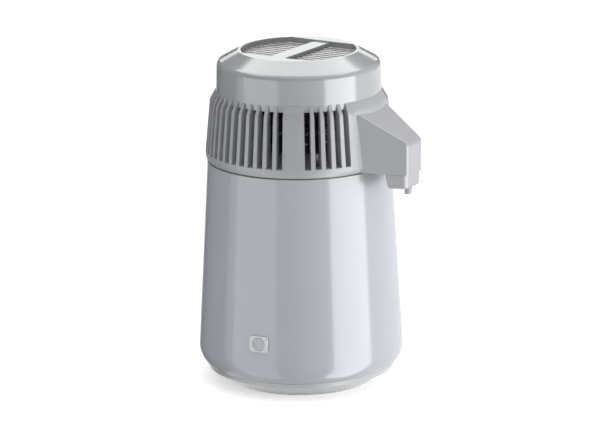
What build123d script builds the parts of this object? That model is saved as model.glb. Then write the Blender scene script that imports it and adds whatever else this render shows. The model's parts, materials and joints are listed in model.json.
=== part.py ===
from build123d import *
import os
from math import asin, atan, cos, degrees, dist, radians, sin, sqrt

os.makedirs("parts", exist_ok=True)

# Countertop water distiller: a boiler in a tapering casing, and a lift-off head that holds
# the fan, the condenser and the spout. Millimetres, +Z up. The origin is on the body's axis
# at the table, and +X runs along the spout.

# Fits
slide_gap = 0.3
seat_gap = 0.3
snug_gap = 0.1
run_gap = 0.06
hole_spare = 0.5

# How far a cutter runs past a face, and how far a joined piece is sunk into the next
overcut = 1.0
sink = 0.5

# Casing
casing_foot_r = 108.0
casing_foot_z = 21.0
casing_wide_r = 115.0
casing_wide_z = 40.4
casing_top_r = 102.9
casing_top_z = 251.6
casing_wall = 2.2
casing_edge = 0.5
ledge_drop = 2.4
ledge_height = 2.4

# Base tray and what closes it
foot_ring_height = 3.0
foot_ring_width = 6.0
tray_stands = 1.2
tray_foot_r = 83.0
tray_foot_rim = 11.0
tray_cone_r = 101.5
tray_cone_z = 14.0
tray_groove = 0.8
tray_groove_rise = 0.3
tray_lip_r = 105.0
tray_wall = 2.4
tray_floor_z = 6.2
tray_floor = 3.0
tray_floor_width = 10.0
spigot_height = 6.0
base_plate_t = 1.2

# Boiler pot and heater
pot_r = 94.0
pot_wall = 0.8
pot_floor_z = 82.0
pot_corner_r = 12.0
pot_ledge_gap = 0.6
pot_flange_gap = 1.0
heater_plate_r = 72.0
heater_plate_t = 5.0
element_r = 40.0
element_tube_r = 4.0
element_sunk = 2.0
element_gap_angle = 60.0
element_end_drop = 12.0
element_pin_r = 2.0
element_pin_length = 9.0
thermostat_r = 8.5
thermostat_height = 9.0
thermostat_spacing = 34.0
clip_t = 1.2
clip_width = 12.0
clip_screw_r = 2.0

# Fasteners
screw_r = 1.5
screw_head_r = 3.2
screw_head_h = 1.6
boss_wall = 2.5
base_screw_count = 4
base_screw_length = 7.0
base_boss_height = 6.0
tie_bolt_r = 2.0
tie_bolt_ring_r = 55.0
tie_bolt_count = 3
tie_nut_r = 3.8
tie_nut_h = 3.2
tie_bolt_end = 0.6

# Reset button, on the casing's front
button_angle = -82.2
button_z = 66.5
bezel_width = 22.8
bezel_height = 18.0
bezel_corner_r = 4.0
bezel_stands = 1.8
bezel_edge_r = 0.9
bezel_neck_wall = 0.9
bezel_depth = 7.0
button_r = 7.2
button_stands = 0.8
button_cap_t = 4.0
button_dish_r = 5.2
button_dish_depth = 0.5
button_edge_r = 0.8
button_travel = 2.0
button_stem_r = 3.0
button_stem_length = 12.0
switch_side = 17.0
switch_depth = 18.0
switch_corner_r = 1.0
spring_r = 5.0
spring_wire_r = 0.4
spring_turns = 3

# Mains inlet and fan-lead socket, on the casing's back
inlet_z = 50.0
inlet_flange = (34.0, 27.0)
inlet_body = (28.0, 21.0)
inlet_recess = (24.4, 16.8)
inlet_depth = 20.0
inlet_recess_depth = 16.0
inlet_stands = 2.0
socket_corner_r = 2.5
socket_edge = 0.5
socket_recess_corner_r = 1.5
inlet_pin = (2.0, 4.0)
inlet_pin_length = 12.0
inlet_pin_spacing = 7.0
inlet_pin_drop = 3.6
inlet_earth_drop = 1.4
fan_socket_z = 80.0
fan_socket_flange = (26.0, 18.0)
fan_socket_body = (20.0, 12.0)
fan_socket_recess = (16.4, 8.4)
fan_socket_depth = 11.0
fan_socket_recess_depth = 9.0
contact_r = 1.2
contact_length = 7.0
contact_spacing = 9.6
terminal_block = (36.0, 16.0, 14.0)
terminal_block_y = -24.0
terminal_screw_r = 2.0
terminal_ways = 3
terminal_hole_depth = 6.0
terminal_screw_sunk = 1.0

# Head: inner lid, seal and deck
head_seam = 1.6
seal_t = 3.0
lid_t = 1.0
lid_r = 99.0
lid_overhang = 0.5
deck_t = 2.0
stud_r = 2.0
stud_spacer_r = 4.0
stud_ring_r = 70.0
stud_count = 3
stud_stands = 3.0
steam_hole_r = 5.0
baffle_r = 22.0
baffle_t = 0.8
baffle_drop = 9.0
baffle_leg_r = 1.5

# Head: vent ring
band_foot_r = 102.4
band_r = 104.6
band_flare = 4.3
slot_bottom_rise = 9.7
shoulder_r = 99.1
shoulder_z = 320.0
tip_z = 331.3
tip_land = 0.3
skirt_z = 324.5
ring_wall = 2.4
ring_in_r = 88.0
hoop_top_z = 334.0
shelf_t = 2.6
deck_screw_roof = 0.6
deck_screw_spare = 0.2
slot_width = 6.8
slot_reach = 5.0
fin_width = 4.6
panel_angle = -61.6
panel_half_angle = 6.8
panel_cheek = 2.6

# Head: cap, centre bar and grille
cap_skirt_r = 92.5
cap_shoulder_r = 91.2
cap_shoulder_z = 363.0
cap_shoulder_round = 8.0
cap_wall = 2.2
rim_r = 67.3
rim_z = 376.0
rim_land = 3.1
recess_flat = 50.0
recess_wall = 2.2
bar_width = 20.0
bar_drop = 1.4
bar_t = 3.4
bar_edge_r = 0.8
grille_drop = 5.0
grille_t = 2.6
grille_seat_width = 2.6
grille_seat_t = 2.0
slat_pitch = 9.1
slat_width = 5.6
slat_round = 1.2
grille_spine_inset = 1.0

# Head: fan and motor
bracket_width = 18.0
bracket_t = 2.0
bracket_boss_y = 57.5
bracket_boss_r = 4.2
bracket_z = 352.0
bracket_screw_length = 9.0
motor_r = 29.0
motor_height = 34.0
motor_neck_r = 9.0
motor_neck_h = 3.0
motor_edge_r = 3.0
motor_screw_y = 18.0
motor_hole_depth = 6.0
shaft_r = 2.5
shaft_end_drop = 8.5
shaft_past_nut = 0.8
hub_r = 12.0
hub_height = 14.0
hub_drop = 3.0
hub_edge_r = 3.0
blade_r = 46.0
blade_count = 5
blade_t = 1.6
blade_root = 20.0
blade_tip = 30.0
blade_root_tilt = 42.0
blade_tip_tilt = 24.0
blade_sink = 2.0
fan_nut_r = 4.5
fan_nut_h = 3.2

# Head: condenser
coil_r = 74.0
coil_tube_r = 3.5
coil_tube_wall = 0.6
coil_turns = 4
coil_pitch = 11.0
coil_top_z = 314.5
coil_start_angle = 22.0
coil_end_angle = -38.0
coil_entry_bend = 8.0
coil_stub = 14.0
coil_step_steepness = 1.6
fin_in_r = 64.0
fin_out_r = 85.0
fin_overlap = 5.3
fin_t = 0.6
fin_step = 4.0
fin_margin = 4.0
tier_turns = 2
tier_gap = 2.0
stand_t = 6.0
stand_width = 12.0
stand_count = 4
manifold_side = 10.0
manifold_height = 14.0
steam_pipe_r = 4.0
steam_pipe_wall = 0.6
steam_pipe_bend = 9.6
steam_pipe_z = 268.0
steam_flange_r = 12.0
steam_flange_t = 2.0

# Head: spout
arm_end_x = 148.6
arm_end_half = 16.2
arm_taper = 0.292
arm_end_z = 288.6
arm_top_slope = 0.56
arm_wall = 2.4
arm_end_round = 3.0
arm_brow_round = 5.0
arm_inner_round = 0.6
arm_root_x = 82.0
arm_drop = 0.3
hose_r = 5.0
hose_bends = (12.0, 12.0, 9.0)
hose_clear = 4.0
hose_on_stub = 8.0
hose_y = -13.0
hose_out_x = 112.0
gland_z = 275.0
gland_neck_r = 4.0
gland_flange_r = 6.5
gland_flange_t = 1.6
gland_bore_r = 2.6

# Nozzle
nozzle_in_x = 123.0
nozzle_end_inset = 1.2
nozzle_height = 15.6
nozzle_slant = 4.9
nozzle_wall = 2.0
nozzle_corner_r = 9.0
nozzle_inner_corner_r = 4.0
nozzle_floor_round = 2.4
nozzle_heel_round = 3.5
nozzle_side_inset = 0.2
nozzle_lid_t = 2.0
nozzle_neck_r = 8.6
nozzle_neck_wall = 1.0
nozzle_neck_h = 7.0
nozzle_socket_wall = 1.6
nozzle_seal_h = 2.0
outlet_x = 140.0
outlet_r = 4.0
outlet_bore_r = 2.2
outlet_length = 8.5
filter_wall = 0.9
filter_depth = 16.0
filter_lip_t = 1.0
sachet_height = 10.0
sachet_round = 2.0
filter_hole_r = 0.7
filter_hole_rings = ((0.0, 1), (3.0, 6), (5.4, 10))

nodes = {}


def turned(points, angle=360.0, start=0.0):
    """Solid turned about Z from a closed outline of (radius, height) points."""
    outline = Plane.XZ * make_face(Polyline(*points, close=True))
    return Rot(0, 0, start) * revolve(outline, Axis.Z, angle)


def tube(radius_out, radius_in, low, high):
    """Plain round tube, or a disc when the inner radius is 0."""
    body = Pos(0, 0, low) * extrude(Circle(radius_out), high - low)
    if radius_in > 0:
        body -= Pos(0, 0, low - overcut) * extrude(Circle(radius_in), high - low + 2 * overcut)
    return body


def block(size_x, size_y, low, high, x=0.0, y=0.0):
    """Box centred on x, y between two heights."""
    return Pos(x, y, low) * extrude(Rectangle(size_x, size_y), high - low)


def pin(x, y, radius, low, high):
    """Upright round pin."""
    return Pos(x, y, low) * extrude(Circle(radius), high - low)


def around(count, start=0.0):
    """Evenly spaced angles round the axis, in degrees."""
    return [start + 360.0 * i / count for i in range(count)]


def polar(radius, angle, z=0.0):
    return Vector(radius * cos(radians(angle)), radius * sin(radians(angle)), z)


def swept(path, radius, bore_r=0.0):
    """Round bar along a path, or a tube where it has a bore."""
    section = Circle(radius)
    if bore_r > 0:
        section -= Circle(bore_r)
    return sweep(Plane(origin=path @ 0, z_dir=path % 0) * section, path=path)


def least_gap(edges, radius):
    """Least gap of a wound bar to itself, measured on points along its middle line."""
    spots = []
    for edge in edges:
        steps = max(2, int(2 * edge.length / radius))
        spots += [tuple(edge @ (i / steps)) for i in range(steps)]
    beyond = 12
    return min(dist(a, b) for i, a in enumerate(spots) for b in spots[i + beyond:]) - 2 * radius


def group(solids):
    """Several separate solids that share one node."""
    return Compound(children=[s for item in solids for s in item.solids()])


# Outer surface of the casing: a rounded heel, then a straight taper
casing_slope = (casing_top_r - casing_wide_r) / (casing_top_z - casing_wide_z)


def casing_r(z):
    return casing_wide_r + casing_slope * (z - casing_wide_z)


def casing_solid(inset, low, high):
    """The casing's solid of revolution, drawn in by inset all round."""
    top = (casing_r(high) - inset, high)
    wide = (casing_wide_r - inset, casing_wide_z)
    foot = (casing_foot_r - inset, casing_foot_z)
    flank = Line(top, wide)
    heel = TangentArc(wide, foot, tangent=flank % 1)
    under = [foot] if low == casing_foot_z else [foot, (foot[0], low)]
    rest = Polyline(*under, (0, low), (0, high), top)
    return revolve(Plane.XZ * make_face(Curve() + [flank, heel, rest]), Axis.Z)


def on_casing(angle, z, level=False):
    """Plane on the casing's surface, x sideways, y up, z outwards."""
    lean = 0.0 if level else atan(-casing_slope)
    out = Vector(cos(radians(angle)) * cos(lean), sin(radians(angle)) * cos(lean), sin(lean))
    side = (-sin(radians(angle)), cos(radians(angle)), 0)
    return Plane(origin=polar(casing_r(z), angle, z), x_dir=side, z_dir=out)


button_plane = on_casing(button_angle, button_z)
inlet_plane = on_casing(90.0, inlet_z, level=True)
socket_plane = on_casing(90.0, fan_socket_z, level=True)
bezel_bore_r = button_r + slide_gap
bezel_neck_r = bezel_bore_r + bezel_neck_wall

# outer_casing: moulded shell with the ledge that the pot hangs on
ledge_z = casing_top_z - ledge_drop
ledge_in_r = pot_r + pot_wall + pot_ledge_gap
casing_outside = casing_solid(0.0, casing_foot_z, casing_top_z)
outer_casing = casing_outside - casing_solid(casing_wall, casing_foot_z - overcut, casing_top_z + overcut)
outer_casing += tube(casing_r(ledge_z) - casing_wall / 2, ledge_in_r, ledge_z - ledge_height, ledge_z)
casing_rims = outer_casing.edges().filter_by(GeomType.CIRCLE)
outer_rims = [e for e in casing_rims if e.radius > casing_foot_r - casing_wall / 2
              and abs(e.center().Z - casing_foot_z) < 0.01]
outer_rims += [e for e in casing_rims if e.radius > casing_top_r - casing_wall / 2
               and abs(e.center().Z - casing_top_z) < 0.01]
outer_casing = chamfer(outer_rims, casing_edge)
through = 3 * casing_wall
outer_casing -= button_plane * Pos(0, 0, -2 * through) * extrude(Circle(bezel_neck_r + snug_gap), 3 * through)
for plane, size in ((inlet_plane, inlet_body), (socket_plane, fan_socket_body)):
    window = Rectangle(size[0] + 2 * snug_gap, size[1] + 2 * snug_gap)
    outer_casing -= plane * Pos(0, 0, -2 * through) * extrude(window, 3 * through)
nodes["outer_casing"] = outer_casing

# base_tray: stepped foot moulding with the spigot that centres the casing
spigot_r = casing_foot_r - casing_wall - slide_gap
lip_r = casing_foot_r - casing_edge
lip_z = tray_cone_z + tray_groove
cone_rise = (tray_cone_z - tray_stands) / (tray_cone_r - tray_foot_r)
cone_lift = tray_wall * sqrt(1 + cone_rise ** 2)
floor_top = tray_floor_z + tray_floor
floor_meet_r = tray_foot_r + (floor_top - tray_stands - cone_lift) / cone_rise
tray_rim_in_r = tray_foot_r - tray_foot_rim
tray_hole_r = tray_rim_in_r - tray_floor_width
ring_mid_r = tray_foot_r - tray_foot_rim / 2
ring_low_r = ring_mid_r - foot_ring_width / 2
ring_high_r = ring_mid_r + foot_ring_width / 2
base_tray = turned([
    (tray_foot_r, tray_stands),
    (tray_cone_r, tray_cone_z),
    (tray_cone_r, lip_z),
    (tray_lip_r, lip_z + tray_groove_rise),
    (lip_r, casing_foot_z - 2 * casing_edge),
    (lip_r, casing_foot_z - casing_edge),
    (lip_r - casing_edge, casing_foot_z),
    (spigot_r, casing_foot_z),
    (spigot_r, casing_foot_z + spigot_height),
    (spigot_r - tray_wall, casing_foot_z + spigot_height),
    (spigot_r - tray_wall, lip_z + cone_lift),
    (tray_cone_r, tray_cone_z + cone_lift),
    (floor_meet_r, floor_top),
    (tray_hole_r, floor_top),
    (tray_hole_r, tray_floor_z),
    (tray_rim_in_r, tray_floor_z),
    (tray_rim_in_r, tray_stands),
    (ring_low_r, tray_stands),
    (ring_low_r, foot_ring_height),
    (ring_high_r, foot_ring_height),
    (ring_high_r, tray_stands),
])
base_screw_ring_r = (tray_rim_in_r + tray_hole_r) / 2
base_plate_low = tray_floor_z - base_plate_t
base_screw_top = base_plate_low + base_screw_length
boss_r = screw_r + boss_wall
for angle in around(base_screw_count, 45.0):
    place = polar(base_screw_ring_r, angle)
    base_tray += pin(place.X, place.Y, boss_r, floor_top - sink, floor_top + base_boss_height)
    base_tray -= pin(place.X, place.Y, screw_r, tray_floor_z - overcut, base_screw_top + hole_spare)
nodes["base_tray"] = base_tray

# foot_ring: rubber ring pressed into the tray's rim, the only thing that touches the table
nodes["foot_ring"] = tube(ring_high_r, ring_low_r, 0.0, foot_ring_height)

# base_plate: pressed steel cover under the tray, with its screws
base_plate = tube(tray_rim_in_r - slide_gap, 0, base_plate_low, tray_floor_z)
base_screws = []
for angle in around(base_screw_count, 45.0):
    place = polar(base_screw_ring_r, angle)
    base_plate -= pin(place.X, place.Y, screw_r, base_plate_low - overcut, tray_floor_z + overcut)
    head = pin(place.X, place.Y, screw_head_r, base_plate_low - screw_head_h, base_plate_low)
    base_screws.append(head + pin(place.X, place.Y, screw_r, base_plate_low - sink, base_screw_top))
tie_angles = around(tie_bolt_count, 30.0)
for angle in tie_angles:
    place = polar(tie_bolt_ring_r, angle)
    base_plate -= pin(place.X, place.Y, tie_bolt_r, base_plate_low - overcut, tray_floor_z + overcut)
nodes["base_plate"] = base_plate
nodes["base_screws"] = group(base_screws)

# boiler_pot: drawn stainless pot, hung by its flange on the casing's ledge
flange_top = ledge_z + pot_wall
flange_r = casing_r(ledge_z) - casing_wall - pot_flange_gap


def pot_solid(radius, floor, corner, top):
    wall = extrude(Circle(radius), top - floor)
    return Pos(0, 0, floor) * fillet(wall.edges().group_by(Axis.Z)[0], corner)


pot_under = pot_floor_z - pot_wall
boiler_pot = pot_solid(pot_r + pot_wall, pot_under, pot_corner_r + pot_wall, flange_top)
boiler_pot += tube(flange_r, 0, ledge_z, flange_top)
boiler_pot -= pot_solid(pot_r, pot_floor_z, pot_corner_r, flange_top + overcut)
nodes["boiler_pot"] = boiler_pot

# heater_plate: aluminium disc brazed under the pot, grooved for the element
plate_low = pot_under - heater_plate_t
element_z = plate_low - element_tube_r + element_sunk
heater_plate = tube(heater_plate_r, 0, plate_low, pot_under)
heater_plate -= Pos(0, 0, element_z) * Torus(element_r, element_tube_r)
nodes["heater_plate"] = heater_plate

# heating_element: sheathed rod bent round under the plate, both cold ends turned down
element_start = 90.0 + element_gap_angle / 2
element_end = 450.0 - element_gap_angle / 2
end_bend = 2 * element_tube_r
ring_path = Pos(0, 0, element_z) * CenterArc((0, 0), element_r, element_start, element_end - element_start)
down = Vector(0, 0, -1)
tail_way = ring_path % 1
tail_bend = TangentArc(ring_path @ 1, (ring_path @ 1) + (tail_way + down) * end_bend, tangent=tail_way)
tail = Line(tail_bend @ 1, (tail_bend @ 1) + down * element_end_drop)
lead_way = (ring_path % 0) * -1
lead_corner = (ring_path @ 0) + (lead_way + down) * end_bend
lead_bend = TangentArc(lead_corner, ring_path @ 0, tangent=(0, 0, 1))
lead = Line(lead_corner + down * element_end_drop, lead_corner)
element_path = Wire([lead, lead_bend, ring_path, tail_bend, tail])
nodes["heating_element"] = swept(element_path, element_tube_r)
pin_top = (tail @ 1).Z
nodes["element_pins"] = group([
    pin(spot.X, spot.Y, element_pin_r, pin_top - element_pin_length, pin_top)
    for spot in (lead @ 0, tail @ 1)])

# thermostats: running thermostat and cut-out, held up to the plate by a strap and one screw
clip_z = plate_low - thermostat_height
clip = block(thermostat_spacing + 2 * thermostat_r, clip_width, clip_z - clip_t, clip_z)
clip -= pin(0, 0, clip_screw_r, clip_z - clip_t - overcut, clip_z + overcut)
nodes["thermostats"] = group([
    pin(side * thermostat_spacing / 2, 0, thermostat_r, clip_z, plate_low) for side in (-1, 1)])
nodes["thermostat_clip"] = clip
clip_screw = pin(0, 0, 2 * clip_screw_r, clip_z - clip_t - screw_head_h, clip_z - clip_t)
nodes["clip_screw"] = clip_screw + pin(0, 0, clip_screw_r, clip_z - clip_t - sink, plate_low)

# tie_bolts and tie_nuts: long studs that draw the pot down on the casing and the tray
nut_low = base_plate_low - tie_nut_h
tie_bolts = []
tie_nuts = []
for angle in tie_angles:
    place = polar(tie_bolt_ring_r, angle)
    tie_bolts.append(pin(place.X, place.Y, tie_bolt_r, nut_low - tie_bolt_end, plate_low))
    nut = Pos(place.X, place.Y, nut_low) * extrude(RegularPolygon(tie_nut_r, 6), tie_nut_h)
    tie_nuts.append(nut - pin(place.X, place.Y, tie_bolt_r, nut_low - overcut, base_plate_low + overcut))
nodes["tie_bolts"] = group(tie_bolts)
nodes["tie_nuts"] = group(tie_nuts)

# terminal_block: ceramic block with its clamp screws, on the base plate
block_low = tray_floor_z
block_top = block_low + terminal_block[2]
terminal = block(terminal_block[0], terminal_block[1], block_low, block_top, 0, terminal_block_y)
way = terminal_block[0] / terminal_ways
screws = []
for i in range(terminal_ways):
    x = (i - (terminal_ways - 1) / 2) * way
    hole_floor = block_top - terminal_hole_depth
    terminal -= pin(x, terminal_block_y, terminal_screw_r, hole_floor, block_top + overcut)
    screws.append(pin(x, terminal_block_y, terminal_screw_r, hole_floor, block_top - terminal_screw_sunk))
nodes["terminal_block"] = terminal
nodes["terminal_screws"] = group(screws)

# button_bezel: raised frame on the casing with a round neck that snaps through the wall
bezel_face = extrude(RectangleRounded(bezel_width, bezel_height, bezel_corner_r), bezel_stands + casing_wall)
bezel_face = Pos(0, 0, -casing_wall) * bezel_face
bezel_face = fillet(bezel_face.faces().sort_by(Axis.Z)[-1].edges(), bezel_edge_r)
bezel = button_plane * bezel_face - casing_outside
bezel += button_plane * Pos(0, 0, -bezel_depth) * extrude(Circle(bezel_neck_r), bezel_depth + bezel_stands / 2)
bezel -= button_plane * Pos(0, 0, -bezel_depth - overcut) * extrude(
    Circle(bezel_bore_r), bezel_depth + bezel_stands + 2 * overcut)
nodes["button_bezel"] = bezel

# switch_housing: thermal switch body behind the bezel
switch_section = RectangleRounded(switch_side, switch_side, switch_corner_r)
switch = Pos(0, 0, -bezel_depth - switch_depth) * extrude(switch_section, switch_depth)
stem_low = button_stands + bezel_stands - button_cap_t - button_stem_length
switch_bore_low = stem_low - button_travel - hole_spare
switch -= Pos(0, 0, switch_bore_low) * extrude(
    Circle(button_stem_r + slide_gap), overcut - bezel_depth - switch_bore_low)
nodes["switch_housing"] = button_plane * switch

# reset_button: dished cap on a stem
cap_front = bezel_stands + button_stands
cap_back = cap_front - button_cap_t
reset_cap = extrude(Circle(button_r), button_cap_t)
reset_cap = Pos(0, 0, cap_back) * fillet(reset_cap.edges().group_by(Axis.Z)[-1], button_edge_r)
dish = Pos(0, 0, cap_front - button_dish_depth) * extrude(Circle(button_dish_r), button_dish_depth + overcut)
reset_cap -= dish
reset_cap += Pos(0, 0, stem_low) * extrude(Circle(button_stem_r), cap_back - stem_low + sink)
nodes["reset_button"] = button_plane * reset_cap


def biarc(start, start_way, end, end_way):
    """Two arcs that leave start and reach end along the given directions."""
    chord = end - start
    both = start_way + end_way
    a = 2 * (1 - start_way.dot(end_way))
    b = 2 * chord.dot(both)
    c = -chord.dot(chord)
    reach = -c / b if abs(a) < 1e-9 else (-b + sqrt(b * b - 4 * a * c)) / (2 * a)
    middle = (start + start_way * reach + end - end_way * reach) * 0.5
    first = TangentArc(start, middle, tangent=start_way)
    return [first, TangentArc(middle, end, tangent=first % 1)]


# button_spring: round-wire coil between the switch and the back of the button
spring_low = -bezel_depth + spring_wire_r
spring_high = cap_back - spring_wire_r
spring_rise = (spring_high - spring_low) / (spring_turns * 4)
spring_spots = []
for i in range(spring_turns * 4 + 1):
    angle = i * 90.0
    way = Vector(-sin(radians(angle)) * spring_r, cos(radians(angle)) * spring_r, spring_rise * 2 / radians(180))
    spring_spots.append((polar(spring_r, angle, spring_low + i * spring_rise), way.normalized()))
spring_edges = []
for (spot, way), (next_spot, next_way) in zip(spring_spots, spring_spots[1:]):
    spring_edges += biarc(spot, way, next_spot, next_way)
print("button spring: least gap to itself", round(least_gap(spring_edges, spring_wire_r), 2))
nodes["button_spring"] = button_plane * swept(Wire(spring_edges), spring_wire_r)


def socket_shell(plane, flange, body, recess, depth, recess_depth, stands):
    """Snap-in socket: flange shaped to the casing, body through its window, blind recess."""
    plate = extrude(RectangleRounded(*flange, socket_corner_r), stands + 2 * casing_wall)
    plate = Pos(0, 0, -2 * casing_wall) * plate
    plate = chamfer(plate.faces().sort_by(Axis.Z)[-1].edges(), socket_edge)
    shell = plane * plate - casing_outside
    shell += plane * Pos(0, 0, stands / 2 - depth) * extrude(Rectangle(*body), depth)
    hollow = RectangleRounded(*recess, socket_recess_corner_r)
    shell -= plane * Pos(0, 0, stands - recess_depth) * extrude(hollow, recess_depth + overcut)
    return shell


# mains_inlet and its three pins
nodes["mains_inlet"] = socket_shell(inlet_plane, inlet_flange, inlet_body, inlet_recess,
                                    inlet_depth, inlet_recess_depth, inlet_stands)
pin_floor = inlet_stands - inlet_recess_depth
inlet_pins = []
for side in (-1, 0, 1):
    drop = inlet_earth_drop if side == 0 else inlet_pin_drop
    blade = Pos(side * inlet_pin_spacing, -drop, pin_floor) * extrude(Rectangle(*inlet_pin), inlet_pin_length)
    inlet_pins.append(inlet_plane * blade)
nodes["inlet_pins"] = group(inlet_pins)

# fan_socket and its contacts: outlet for the head's fan lead
nodes["fan_socket"] = socket_shell(socket_plane, fan_socket_flange, fan_socket_body, fan_socket_recess,
                                   fan_socket_depth, fan_socket_recess_depth, inlet_stands)
contact_floor = inlet_stands - fan_socket_recess_depth
nodes["socket_contacts"] = group([
    socket_plane * Pos(side * contact_spacing / 2, 0, contact_floor) * extrude(Circle(contact_r), contact_length)
    for side in (-1, 1)])

# lid_seal, inner_lid and head_deck: the lid sits on the pot's flange through a silicone ring
seal_z = flange_top
lid_z = seal_z + seal_t
lid_top = lid_z + lid_t
nodes["lid_seal"] = tube(lid_r - lid_overhang, pot_r, seal_z, lid_z)
ring_z = casing_top_z + head_seam
slot_z = ring_z + slot_bottom_rise
shelf_z = slot_z - shelf_t
deck_z = shelf_z - deck_t
band_in_r = band_foot_r - ring_wall
inner_lid = tube(lid_r, steam_hole_r, lid_z, lid_top)
deck_hole_r = steam_flange_r + slide_gap
head_deck = tube(band_in_r - slide_gap, deck_hole_r, deck_z, shelf_z)
lid_spacers = []
lid_studs = []
stud_low = lid_z - screw_head_h
for angle in around(stud_count, 60.0):
    spot = polar(stud_ring_r, angle)
    inner_lid -= pin(spot.X, spot.Y, stud_r, lid_z - overcut, lid_top + overcut)
    head_deck -= pin(spot.X, spot.Y, stud_r, deck_z - overcut, shelf_z + overcut)
    spacer = pin(spot.X, spot.Y, stud_spacer_r, lid_top, deck_z)
    lid_spacers.append(spacer - pin(spot.X, spot.Y, stud_r, lid_top - overcut, deck_z + overcut))
    stud = pin(spot.X, spot.Y, stud_r, lid_z - sink, shelf_z + stud_stands)
    lid_studs.append(stud + pin(spot.X, spot.Y, 2 * stud_r, stud_low, lid_z))
nodes["lid_spacers"] = group(lid_spacers)
nodes["lid_studs"] = group(lid_studs)

# steam_baffle: small dish below the steam hole that keeps splashes out of the pipe
baffle_low = lid_z - baffle_drop
baffle = tube(baffle_r, 0, baffle_low, baffle_low + baffle_t)
for angle in around(3):
    spot = polar(baffle_r - 2 * baffle_leg_r, angle)
    baffle += pin(spot.X, spot.Y, baffle_leg_r, baffle_low, lid_z)
nodes["steam_baffle"] = baffle

# vent_ring: band, shelf and upright fins; the fins' tips lap over the cap's skirt
cap_slope = (cap_shoulder_r - cap_skirt_r) / (cap_shoulder_z - skirt_z)
tip_r = cap_skirt_r + cap_slope * (tip_z - skirt_z) + snug_gap
groove_r = cap_skirt_r + snug_gap
hoop_r = cap_skirt_r - cap_wall - snug_gap
hoop_tip_r = hoop_r + cap_slope * (hoop_top_z - skirt_z) - snug_gap
skirt_seat = skirt_z - snug_gap
flare_z = ring_z + band_flare
ring_outline = [
    (band_foot_r, ring_z),
    (band_r, flare_z),
    (band_r, slot_z),
    (shoulder_r, shoulder_z),
    (tip_r + tip_land, tip_z),
    (tip_r, tip_z),
    (groove_r, skirt_seat),
    (hoop_r, skirt_seat),
    (hoop_tip_r, hoop_top_z),
    (ring_in_r, hoop_top_z),
    (ring_in_r, shelf_z),
    (band_in_r, shelf_z),
    (band_in_r, ring_z),
]
ring_slope = (shoulder_r - band_r) / (shoulder_z - slot_z)


def ring_face_r(z):
    return band_r + ring_slope * (z - slot_z)


vent_ring = turned(ring_outline)
under_ring = ring_z - slot_bottom_rise
ring_outside = turned([(0, under_ring), (band_foot_r, under_ring)] + ring_outline[:5] + [(0, tip_z)])


def arm_half(x):
    return arm_end_half + arm_taper * (arm_end_x - x)


def arm_angle(radius):
    """Angle at which the arm's side plane meets a cylinder about the axis."""
    half = arm_half(radius)
    for attempt in range(8):
        half = arm_half(sqrt(radius ** 2 - half ** 2))
    return degrees(asin(half / radius))


collar_half_angle = arm_angle(shoulder_r)

slot_angle = degrees(slot_width / band_r)
fin_angle = degrees(fin_width / band_r)
rear_angle = panel_angle + 180.0
blanks = [(0.0, collar_half_angle), (rear_angle, panel_half_angle), (panel_angle + 360.0, panel_half_angle)]
slot_in_r = ring_in_r - slot_reach
slot_out_r = band_r + slot_reach
slot_profile = [
    (slot_in_r, slot_z),
    (slot_out_r, slot_z),
    (slot_out_r, tip_z + 2 * overcut),
    (hoop_r + overcut, tip_z + 2 * overcut),
    (hoop_r + overcut, skirt_seat),
    (slot_in_r, skirt_seat),
]
slot_face = Plane.XZ * make_face(Polyline(*slot_profile, close=True))
slot_cutter = extrude(slot_face, slot_width / 2, both=True)
slots = []
for (centre, half), (next_centre, next_half) in zip(blanks, blanks[1:] + [(360.0, collar_half_angle)]):
    low = centre + half
    room = next_centre - next_half - low
    count = int((room + fin_angle) / (slot_angle + fin_angle) + 0.5)
    step = (room - slot_angle) / (count - 1)
    slots += [Rot(0, 0, low + slot_angle / 2 + i * step) * slot_cutter for i in range(count)]
print("vent ring: slots", len(slots), "collar half angle", round(collar_half_angle, 2))
trim_low = polar(slot_in_r, arm_angle(slot_in_r))
trim_high = polar(slot_out_r, arm_angle(slot_out_r))
trim_far = polar(slot_out_r, collar_half_angle + slot_angle / 2)
trim_near = polar(slot_in_r, collar_half_angle + slot_angle / 2)
for side in (-1, 1):
    corners = [(p.X, side * p.Y) for p in (trim_low, trim_high, trim_far, trim_near)]
    trim = Pos(0, 0, slot_z) * extrude(make_face(Polyline(*corners, close=True)), skirt_seat - slot_z)
    slots.append(trim - tube(slot_in_r + overcut, 0, slot_z - overcut, skirt_seat + overcut))
vent_ring = vent_ring.cut(*[s.solid() for s in slots])
pocket_top = skirt_seat - 2 * ring_wall
pocket_in_r = ring_in_r - ring_wall
pocket = [
    (pocket_in_r, slot_z),
    (band_r - ring_wall, slot_z),
    (ring_face_r(pocket_top) - ring_wall, pocket_top),
    (pocket_in_r, pocket_top),
]
cheek = degrees(panel_cheek / band_r)
for centre, half in blanks:
    vent_ring -= turned(pocket, 2 * (half - cheek), centre - half + cheek)

# Deck screws, up into the shelf
deck_screws = []
deck_screw_r = (ring_in_r + band_in_r) / 2
for angle in (rear_angle, panel_angle, 0.0, 180.0):
    spot = polar(deck_screw_r, angle)
    hole_top = slot_z - deck_screw_roof
    vent_ring -= pin(spot.X, spot.Y, screw_r, shelf_z - overcut, hole_top)
    head_deck -= pin(spot.X, spot.Y, screw_r, deck_z - overcut, shelf_z + overcut)
    shank = pin(spot.X, spot.Y, screw_r, deck_z - sink, hole_top - deck_screw_spare)
    deck_screws.append(shank + pin(spot.X, spot.Y, screw_head_r, deck_z - screw_head_h, deck_z))
nodes["deck_screws"] = group(deck_screws)

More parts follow.
